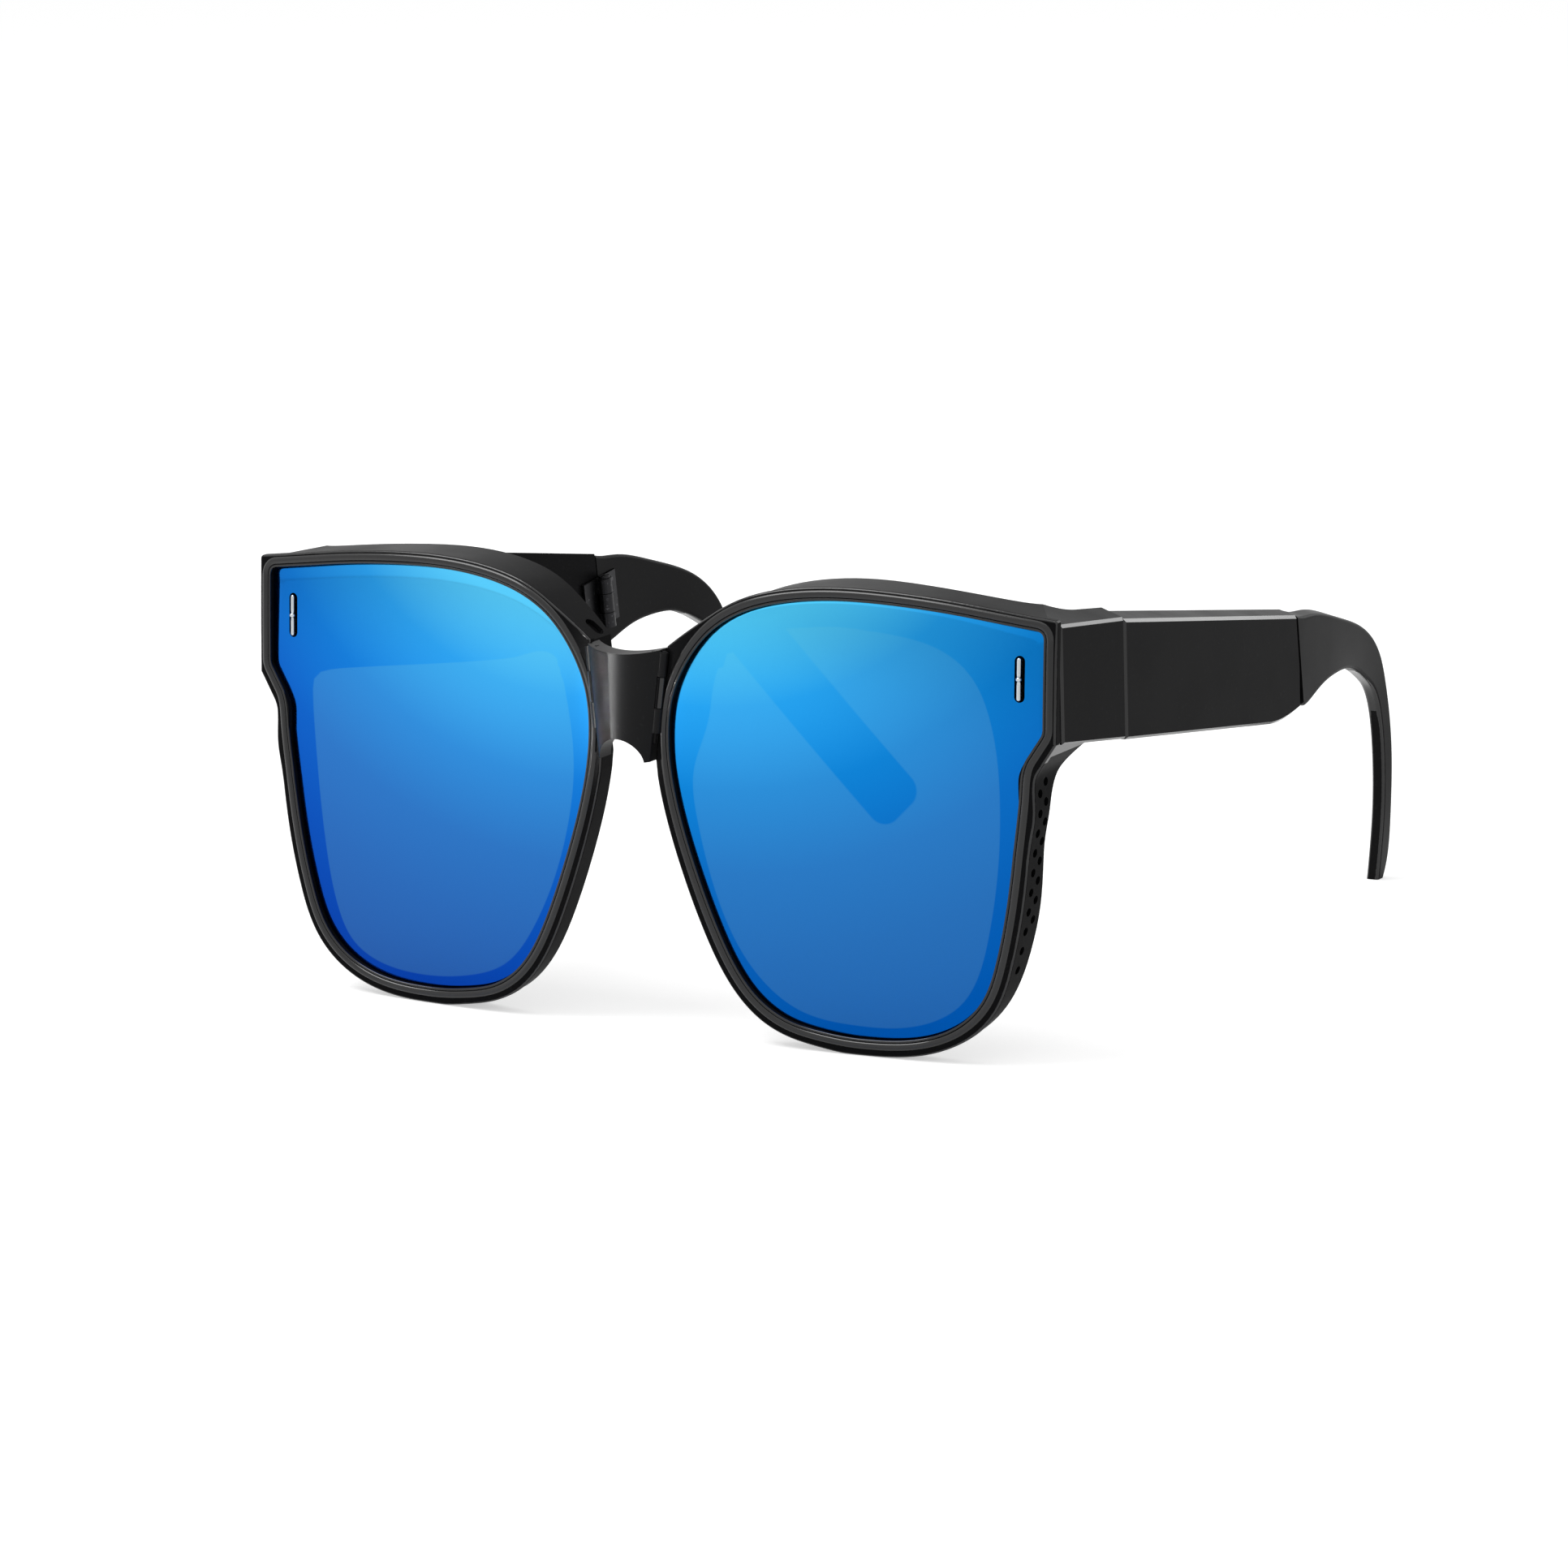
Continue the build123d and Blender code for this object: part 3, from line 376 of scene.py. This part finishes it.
def mirror_lens(side, sign):
    """A shell of rings: painted reflection, border, rounded edge, wall and back, with their marks as its
    UVs.
    """
    angles, edge = seen_from_middle(lens_outline())
    points = PAINTED_REFLECTION_OUTLINES[side]
    start = np.subtract(points[0], points[-1])
    end = np.subtract(points[2], points[1])
    painted_reflection_loop = np.array(curve_through(points[-2:] + points + points[:3], start, end, PAINTED_REFLECTION_POINTS))
    painted_reflection_angles, painted_reflection_reach = seen_from_middle(painted_reflection_loop)
    order = np.argsort(painted_reflection_angles)
    # Reach of the painted reflection's edge in each direction from the lens middle
    painted_reflection = np.interp(angles, painted_reflection_angles[order], painted_reflection_reach[order], period=2 * math.pi)
    mesh = bmesh.new()
    rings_layer = mesh.loops.layers.uv.new("rings")
    marks = {}
    count = len(angles)

    def point(x, z, behind, mark, turn):
        vert = mesh.verts.new(behind_front(sign, x, z, LENS_RECESS + behind))
        marks[vert] = (mark, turn)
        return vert

    def ring(reach, behind, mark):
        across = LENS_MIDDLE[0] + np.cos(angles) * reach
        height = LENS_MIDDLE[1] + np.sin(angles) * reach
        return [point(x, z, behind, mark, i / count) for i, (x, z) in enumerate(zip(across, height))]

    rings = [ring(painted_reflection * s, 0, PAINTED_REFLECTION_MARK * s) for s in PAINTED_REFLECTION_RINGS]
    for s in BORDER_RINGS:
        rings.append(ring(painted_reflection + (edge - painted_reflection) * s, 0, PAINTED_REFLECTION_MARK + (EDGE_MARK - PAINTED_REFLECTION_MARK) * s))
    rings += [ring(edge - inward, behind, mark) for inward, behind, mark in EDGE_RINGS]
    rings += [ring(edge * s, LENS_THICK, BACK_MARK) for s in BACK_RINGS]
    front_middle = point(*LENS_MIDDLE, 0, 0.0, 0.0)
    back_middle = point(*LENS_MIDDLE, LENS_THICK, BACK_MARK, 0.0)
    for inner, outer in zip(rings, rings[1:]):
        for i in range(count):
            j = (i + 1) % count
            mesh.faces.new((inner[i], outer[i], outer[j], inner[j]))
    for i in range(count):
        j = (i + 1) % count
        mesh.faces.new((front_middle, rings[0][i], rings[0][j]))
        mesh.faces.new((back_middle, rings[-1][j], rings[-1][i]))
    for face in mesh.faces:
        face.smooth = True
        face.material_index = int(max(marks[vert][0] for vert in face.verts) > BACK_FROM)
        for loop in face.loops:
            loop[rings_layer].uv = marks[loop.vert]
    return standing(f"{side}_mirror_lens", mesh)


# Each mirror film has rings of colour round a point above the brow: their middle, the first and
# the last radius, and the colours between them at even steps. The blue is the film's own, and its
# fall from pale to deep is a painted reflection; the two lenses get different tones, which paint
# the different light on each. Then the share and colour of the pale veil, a painted reflection.
FILMS_AND_PAINTED_REFLECTIONS = {
    "left": {
        "middle": (12.1, 118.5),
        "radii": (50.6, 118.1),
        "colours": (
            (0.082, 0.614, 0.987), (0.0173, 0.325, 0.778), (0.0044, 0.197, 0.588),
            (0.0034, 0.133, 0.484), (0.0023, 0.107, 0.433), (0.0005, 0.091, 0.403),
        ),
        # Share and colour of the painted reflection inside the edge
        "painted_reflection": (0.0445, (0.398, 1.0, 0.606, 1)),
    },
    "right": {
        "middle": (13.1, 109.2),
        "radii": (41.3, 109.8),
        "colours": (
            (0.1, 0.613, 0.981), (0.0238, 0.32, 0.767), (0.0066, 0.173, 0.591),
            (0.0042, 0.1, 0.472), (0.0031, 0.072, 0.422), (0.0021, 0.051, 0.378),
        ),
        # Share and colour of the painted reflection inside the edge
        "painted_reflection": (0.0726, (0.272, 0.84, 0.483, 1)),
    },
}
# How softly the painted reflection fades at its edge
PAINTED_REFLECTION_FADE = (PAINTED_REFLECTION_MARK - 0.003, PAINTED_REFLECTION_MARK + 0.001)
HAZE_PER_METRE, HAZE_SPAN, FILM_ROUGHNESS = 25, (0.3, 0.7), (0.09, 0.13)

# A slanting clear band with a rounded end, which the pale veil of the left lens leaves out: a gap
# in the painted reflection, and part of its pattern
BAND_START, BAND_LENGTH, BAND_HALF, BAND_ROUND, BAND_BLUR = (37.6, 51.9), 13.5, 1.9, 3.0, 0.15


def distance(tree, first, second):
    """The distance from two offsets at right angles."""
    squares = [value_math(tree, "POWER", offset, 2) for offset in (first, second)]
    return value_math(tree, "SQRT", value_math(tree, "ADD", *squares))


def outside_band(tree, x, z):
    """0 on the band left out of the painted reflection, and 1 on the rest of the lens."""
    off_x = value_math(tree, "SUBTRACT", x, BAND_START[0])
    off_z = value_math(tree, "SUBTRACT", z, BAND_START[1])
    slant = math.sqrt(0.5)
    along = value_math(tree, "MULTIPLY", value_math(tree, "SUBTRACT", off_x, off_z), slant)
    across = value_math(tree, "MULTIPLY", value_math(tree, "ADD", off_x, off_z), slant)
    beyond = value_math(tree, "MAXIMUM", value_math(tree, "SUBTRACT", along, BAND_LENGTH), 0.0)
    aside = value_math(tree, "SUBTRACT", value_math(tree, "ABSOLUTE", across), BAND_HALF)
    aside = value_math(tree, "MAXIMUM", aside, 0.0)
    away = distance(tree, beyond, aside)
    return remapped(tree, away, BAND_ROUND - BAND_BLUR, BAND_ROUND + BAND_BLUR, 0.0, 1.0)


def mirror_film_and_painted_reflection(side, sign):
    """Blue mirror colour: rings round a point above the brow, whose fall from pale to deep is a painted
    reflection, and a paler painted reflection inside the edge.
    """
    film_and_painted_reflection = FILMS_AND_PAINTED_REFLECTIONS[side]
    material = bpy.data.materials.new(f"{side}_blue_mirror_film_and_painted_reflection")
    material.use_nodes = True
    tree = material.node_tree
    shader = tree.nodes["Principled BSDF"].inputs
    spot = axes_of(tree, "Object")
    x = value_math(tree, "MULTIPLY", spot["X"], sign / mm)
    z = value_math(tree, "MULTIPLY", spot["Z"], 1 / mm)
    across = value_math(tree, "SUBTRACT", x, film_and_painted_reflection["middle"][0])
    down = value_math(tree, "SUBTRACT", z, film_and_painted_reflection["middle"][1])
    # The film's own blue, paling towards a point above the brow as a painted reflection
    ramp = tree.nodes.new("ShaderNodeValToRGB")
    last = len(film_and_painted_reflection["colours"]) - 1
    for i in range(1, last):
        ramp.color_ramp.elements.new(i / last)
    for stop, colour in zip(ramp.color_ramp.elements, film_and_painted_reflection["colours"]):
        stop.color = (*colour, 1)
    tree.links.new(remapped(tree, distance(tree, across, down), *film_and_painted_reflection["radii"], 0.0, 1.0), ramp.inputs[0])
    rings = tree.nodes.new("ShaderNodeUVMap")
    rings.uv_map = "rings"
    marks = tree.nodes.new("ShaderNodeSeparateXYZ")
    tree.links.new(rings.outputs[0], marks.inputs[0])
    # A paler colour mixed in inside the lens edge: a painted reflection
    painted_reflection_share, painted_reflection_colour = film_and_painted_reflection["painted_reflection"]
    painted_reflection = remapped(tree, marks.outputs["X"], *PAINTED_REFLECTION_FADE, painted_reflection_share, 0.0)
    # On the left lens the painted reflection leaves out a slanting band
    if side == "left":
        painted_reflection = value_math(tree, "MULTIPLY", painted_reflection, outside_band(tree, x, z))
    tree.links.new(blended(tree, painted_reflection, ramp.outputs["Color"], painted_reflection_colour), shader["Base Color"])
    haze = remapped(tree, noise(tree, HAZE_PER_METRE, 2), *HAZE_SPAN, *FILM_ROUGHNESS)
    tree.links.new(haze, shader["Roughness"])
    shader["Metallic"].default_value = 1.0
    return material


INLAY_FROM_SIDE, INLAY_FROM_TOP, INLAY_LENGTH, INLAY_SEAT_WIDTH = 4.4, 10.75, 6.8, 1.15
INLAY_AT = (
    LENS_INNER_X + LENS_WIDTH - INLAY_FROM_SIDE,
    LENS_BOTTOM_Z + LENS_HEIGHT - INLAY_FROM_TOP,
)
SLOT_GAP, SLOT_END_STEPS, SLOT_PAST = 0.3, 10, 1.0


def slot_cutter(side, sign):
    """A prism with rounded ends that reaches past both faces of the lens."""
    mesh = bmesh.new()
    width = INLAY_SEAT_WIDTH + 2 * SLOT_GAP
    straight = INLAY_LENGTH - INLAY_SEAT_WIDTH
    loop = []
    for end in (1, -1):
        for step in range(SLOT_END_STEPS + 1):
            turned = math.pi * step / SLOT_END_STEPS + (0 if end == 1 else math.pi)
            x = INLAY_AT[0] + math.cos(turned) * width / 2
            z = INLAY_AT[1] + end * straight / 2 + math.sin(turned) * width / 2
            loop.append((x, z))
    depths = (LENS_RECESS - SLOT_PAST, LENS_RECESS + LENS_THICK + SLOT_PAST)
    front, rear = [[mesh.verts.new(behind_front(sign, x, z, d)) for x, z in loop] for d in depths]
    mesh.faces.new(front)
    mesh.faces.new(rear)
    for i in range(len(loop)):
        j = (i + 1) % len(loop)
        mesh.faces.new((front[i], front[j], rear[j], rear[i]))
    for face in mesh.faces:
        face.material_index = 1
    return standing(f"{side}_slot", mesh)


def cut_out(target, cutter):
    """Takes the cutter out of the target's mesh."""
    cut = target.modifiers.new("slot", "BOOLEAN")
    cut.object = cutter
    cut.solver = "EXACT"
    bpy.context.view_layer.update()
    shaped = bpy.data.meshes.new_from_object(target.evaluated_get(bpy.context.evaluated_depsgraph_get()))
    target.modifiers.clear()
    shaped.set_sharp_from_angle(angle=math.radians(30))
    target.data = shaped
    bpy.data.objects.remove(cutter)


LENS_SMOKE, LENS_SMOKE_SCUFFED = (0.006, 0.008, 0.012, 1), (0.01, 0.012, 0.016, 1)
lens_back = finished(
    "smoked_lens_back", LENS_SMOKE, LENS_SMOKE_SCUFFED, smooth=0.05, smeared=0.12, specular=0.5,
)
for side, sign in SIDES:
    lens = mirror_lens(side, sign)
    lens.data.materials.append(mirror_film_and_painted_reflection(side, sign))
    lens.data.materials.append(lens_back)
    cut_out(lens, slot_cutter(side, sign))
    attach(lens, f"{side}_front")
    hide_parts(f"{side}_lens")

# Lips: each lip is moulded with a rounded crown, and its inner edge is rolled over and polished
# to a fine line. Both run right round the lens and catch the light of the studio.

# Of each bead: its name, how far outside the lens and how deep its middle lies, and its radius
LIP_BEADS = (("lip_edge", 0.21, 0.15, 0.25), ("lip_crown", 1.05, 0.35, 0.7))
LIP_BEAD_SIDES = 24


def lip_bead(name, sign, away, depth, radius):
    """A closed round bead along the lens opening, partly sunk in the lip."""
    outline = lens_outline()
    count = len(outline)
    mesh = bmesh.new()
    rings = []
    for i in range(count):
        run = outline[(i + 1) % count] - outline[i - 1]
        out = np.array((run[1], -run[0])) / np.linalg.norm(run)
        ring = []
        for step in range(LIP_BEAD_SIDES):
            turned = 2 * math.pi * step / LIP_BEAD_SIDES
            x, z = outline[i] + out * (away + radius * math.cos(turned))
            ring.append(mesh.verts.new(behind_front(sign, x, z, depth + radius * math.sin(turned))))
        rings.append(ring)
    for i in range(count):
        for k in range(LIP_BEAD_SIDES):
            j, m = (i + 1) % count, (k + 1) % LIP_BEAD_SIDES
            mesh.faces.new((rings[i][k], rings[j][k], rings[j][m], rings[i][m])).smooth = True
    return standing(name, mesh)


polished_lip = finished(
    "rolled_lip_edge", MOULD_BLACK, MOULD_SCUFFED, smooth=0.14, smeared=0.2, specular=0.5,
)
for side, sign in SIDES:
    for kind, away, depth, radius in LIP_BEADS:
        bead = lip_bead(f"{side}_{kind}", sign, away, depth, radius)
        bead.data.materials.append(polished_lip)
        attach(bead, f"{side}_front")

# Inlays: a polished steel bar with a waist and a nub in the middle, pressed into the slot of
# each lens so that it stands a little proud of the mirror film.

INLAY_WIDTH, INLAY_PROUD, INLAY_ROOT, INLAY_CROWN = 0.7, 0.5, 1.6, 0.25
INLAY_WAIST, INLAY_WAIST_LENGTH, INLAY_END_THINNEST = 0.5, 0.42, 0.003
INLAY_NUB, INLAY_NUB_PROUD = (0.52, 0.5, 0.416), 0.25
INLAY_STATIONS, INLAY_SIDES = 44, 10


def inlay_bar(side, sign):
    """A bar of crowned sections from its foot in the lens to its front, and a domed nub."""
    mesh = bmesh.new()
    half, end = INLAY_LENGTH / 2, INLAY_WIDTH / 2
    foot = LENS_RECESS + INLAY_ROOT
    rings = []
    for step in range(INLAY_STATIONS + 1):
        along = -half * math.cos(math.pi * step / INLAY_STATIONS)
        round_off = max(0.0, (abs(along) - half + end) / end)
        wide = end * math.sqrt(max(INLAY_END_THINNEST, 1 - round_off**2))
        wide *= 1 - INLAY_WAIST * math.exp(-((along / INLAY_WAIST_LENGTH) ** 2))
        section = []
        for turn in range(INLAY_SIDES + 1):
            angle = math.pi * turn / INLAY_SIDES
            crown = INLAY_CROWN * math.sin(angle) * wide / end - INLAY_CROWN
            section.append((INLAY_AT[0] + wide * math.cos(angle), LENS_RECESS - INLAY_PROUD - crown))
        section = [(section[0][0], foot)] + section + [(section[-1][0], foot)]
        z = INLAY_AT[1] + along
        rings.append([mesh.verts.new(behind_front(sign, x, z, depth)) for x, depth in section])
    for first, second in zip(rings, rings[1:]):
        for k in range(len(first) - 1):
            mesh.faces.new((first[k], second[k], second[k + 1], first[k + 1]))
        mesh.faces.new((first[-1], second[-1], second[0], first[0]))
    mesh.faces.new(rings[0])
    mesh.faces.new(rings[-1])
    spot = Vector(behind_front(sign, *INLAY_AT, LENS_RECESS - INLAY_NUB_PROUD))
    shape = Matrix.Translation(spot) @ Matrix.Diagonal((*(size * mm for size in INLAY_NUB), 1))
    bmesh.ops.create_uvsphere(mesh, u_segments=20, v_segments=12, radius=1, matrix=shape)
    for face in mesh.faces:
        face.smooth = True
    bar = standing(f"{side}_inlay", mesh)
    bar.data.set_sharp_from_angle(angle=math.radians(50))
    return bar


STEEL, STEEL_SCUFFED = (0.56, 0.6, 0.62, 1), (0.4, 0.43, 0.45, 1)
polished_steel = finished(
    "polished_inlay", STEEL, STEEL_SCUFFED,
    smooth=0.12, smeared=0.24, specular=0.5, metallic=1.0, relief=METAL_PEEL,
)
for side, sign in SIDES:
    bar = inlay_bar(side, sign)
    bar.data.materials.append(polished_steel)
    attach(bar, f"{side}_front")
    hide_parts(f"{side}_lens_rivet")

# Bridge: a saddle of the same black plastic that joins the halves over the nose. A steel pin
# runs through its knuckles on either side, so that the halves fold together.

PIN_STEEL, PIN_STEEL_SCUFFED = (0.03, 0.03, 0.032, 1), (0.09, 0.09, 0.095, 1)
dark_steel = finished(
    "blackened_hinge_steel", PIN_STEEL, PIN_STEEL_SCUFFED,
    smooth=0.25, smeared=0.4, specular=0.5, metallic=1.0, relief=METAL_PEEL,
)
dress("bridge", moulded_black("black_saddle", smooth=0.36, smeared=0.43, specular=0.12))
for side, _ in SIDES:
    dress(f"{side}_bridge_pin", dark_steel)

# Temples: a flat front section and a hooked rear section, in the same black plastic, with
# steel three-knuckle hinges let into their inner sides at the end block and halfway back.

black_temple = moulded_black("black_temple", smooth=0.28, smeared=0.36, specular=0.018, buffed=0.0)
black_hook = moulded_black(
    "black_hook", smooth=0.28, smeared=0.36, specular=0.05, buffed=BLOCK_BEVELS_BEYOND,
)
for side, _ in SIDES:
    dress(f"{side}_temple", black_temple)
    dress(f"{side}_temple_tip", black_hook)
    for place in ("end", "fold"):
        for part in ("front_leaf", "rear_leaf", "screw"):
            dress(f"{side}_{place}_hinge_{part}", dark_steel)

# Studio floor: a wide sheet of white paper. Mirrors and the camera see it lit a little more than
# the lamps make it, and it keeps the shadow of the glasses.

FLOOR_HALF = 6.0
PAPER, PAPER_FIBRE = (0.74, 0.74, 0.74, 1), (0.77, 0.77, 0.77, 1)
PAPER_ROUGHNESS, FIBRES_PER_METRE, FIBRE_SPAN = 0.9, 900, (0.2, 0.8)
PAPER_GLOW_TO_CAMERA, PAPER_GLOW_IN_MIRRORS = 0.5, 0.25


def ray_masks(tree):
    """Two masks: of rays off a mirror or through glass, and of the camera's own rays."""
    rays = tree.nodes.new("ShaderNodeLightPath").outputs
    in_mirrors = value_math(tree, "MAXIMUM", rays["Is Glossy Ray"], rays["Is Transmission Ray"])
    return in_mirrors, rays["Is Camera Ray"]


white_paper = bpy.data.materials.new("white_paper")
white_paper.use_nodes = True
paper_tree = white_paper.node_tree
paper = paper_tree.nodes["Principled BSDF"].inputs
paper["Roughness"].default_value = PAPER_ROUGHNESS
paper["Specular IOR Level"].default_value = 0.0
fibres = remapped(paper_tree, noise(paper_tree, FIBRES_PER_METRE, 2), *FIBRE_SPAN, 0.0, 1.0)
paper_tree.links.new(blended(paper_tree, fibres, PAPER, PAPER_FIBRE), paper["Base Color"])
paper["Emission Color"].default_value = (1, 1, 1, 1)
in_mirrors, by_camera = ray_masks(paper_tree)
in_mirrors = value_math(paper_tree, "MULTIPLY", in_mirrors, PAPER_GLOW_IN_MIRRORS)
glow = value_math(paper_tree, "MULTIPLY_ADD", by_camera, PAPER_GLOW_TO_CAMERA, in_mirrors)
paper_tree.links.new(glow, paper["Emission Strength"])

floor_mesh = bmesh.new()
bmesh.ops.create_grid(floor_mesh, x_segments=2, y_segments=2, size=FLOOR_HALF)
floor = standing("studio_floor", floor_mesh)
floor.data.materials.append(white_paper)

# Studio light: a white room and soft lamps overhead, beside the brow and behind the temples. A
# narrow lamp with a snoot lights the bridge alone, so that the mirror lenses don't show it.

ROOM_LIGHT, ROOM_SEEN = 0.62, 1.0
# Of each lamp: its name, its place, the place it faces, its size, its power and how wide it shines
LAMPS = (
    ("top_softbox", (0.05, 0.05, 0.9), (0.0, 0.0, 0.03), (0.9, 0.7), 1.2, 180),
    ("bridge_snoot", (-0.300, -0.400, 0.045), (-0.001, -0.0707, 0.055), (0.007, 0.026), 0.0012, 1.5),
    ("brow_strip", (-0.45, -0.33, 0.84), (-0.45, -0.33, 0.0), (0.6, 0.45), 5.1, 180),
    ("back_strip", (0.26, 0.84, 0.35), (0.07, 0.0, 0.06), (0.36, 0.25), 0.5, 180),
)

world = bpy.data.worlds.new("white_room")
bpy.context.scene.world = world
world.use_nodes = True
room = world.node_tree
in_mirrors, by_camera = ray_masks(room)
seen = value_math(room, "MAXIMUM", in_mirrors, by_camera)
walls = room.nodes["Background"].inputs
walls["Color"].default_value = (1, 1, 1, 1)
room.links.new(remapped(room, seen, 0.0, 1.0, ROOM_LIGHT, ROOM_SEEN), walls["Strength"])

for name, spot, aim, size, power, spread in LAMPS:
    lamp = bpy.data.lights.new(name, "AREA")
    lamp.shape = "RECTANGLE"
    lamp.size, lamp.size_y = size
    lamp.energy = power
    lamp.spread = math.radians(spread)
    holder = bpy.data.objects.new(name, lamp)
    holder.location = spot
    holder.rotation_euler = (Vector(aim) - Vector(spot)).to_track_quat("-Z", "Y").to_euler()
    bpy.context.scene.collection.objects.link(holder)

# Camera: at the viewing angle of the photograph, to the wearer's left and a little above, and
# leaning over slightly.

CAMERA_TURN, CAMERA_RISE, CAMERA_ROLL = math.radians(31), math.radians(12.5), math.radians(-1.72)
CAMERA_AIM = Vector((25.0 * mm, CORNER_Y * mm, 41.82 * mm))
CAMERA_AWAY, CAMERA_LENS, CAMERA_SENSOR, CAMERA_SEES_TO = 1.07503, 154.11, 36, 50

back = Vector((
    math.sin(CAMERA_TURN) * math.cos(CAMERA_RISE),
    -math.cos(CAMERA_TURN) * math.cos(CAMERA_RISE),
    math.sin(CAMERA_RISE),
))
right = Vector((math.cos(CAMERA_TURN), math.sin(CAMERA_TURN), 0))
up = back.cross(right)
across = right * math.cos(CAMERA_ROLL) + up * math.sin(CAMERA_ROLL)
upward = up * math.cos(CAMERA_ROLL) - right * math.sin(CAMERA_ROLL)
camera_data = bpy.data.cameras.new("camera")
camera_data.lens = CAMERA_LENS
camera_data.sensor_width = CAMERA_SENSOR
camera_data.clip_end = CAMERA_SEES_TO
camera = bpy.data.objects.new("camera", camera_data)
turned = Matrix((across, upward, back)).transposed().to_4x4()
camera.matrix_world = Matrix.Translation(CAMERA_AIM + back * CAMERA_AWAY) @ turned
bpy.context.scene.collection.objects.link(camera)
bpy.context.scene.camera = camera
bpy.context.scene.view_settings.view_transform = "Standard"
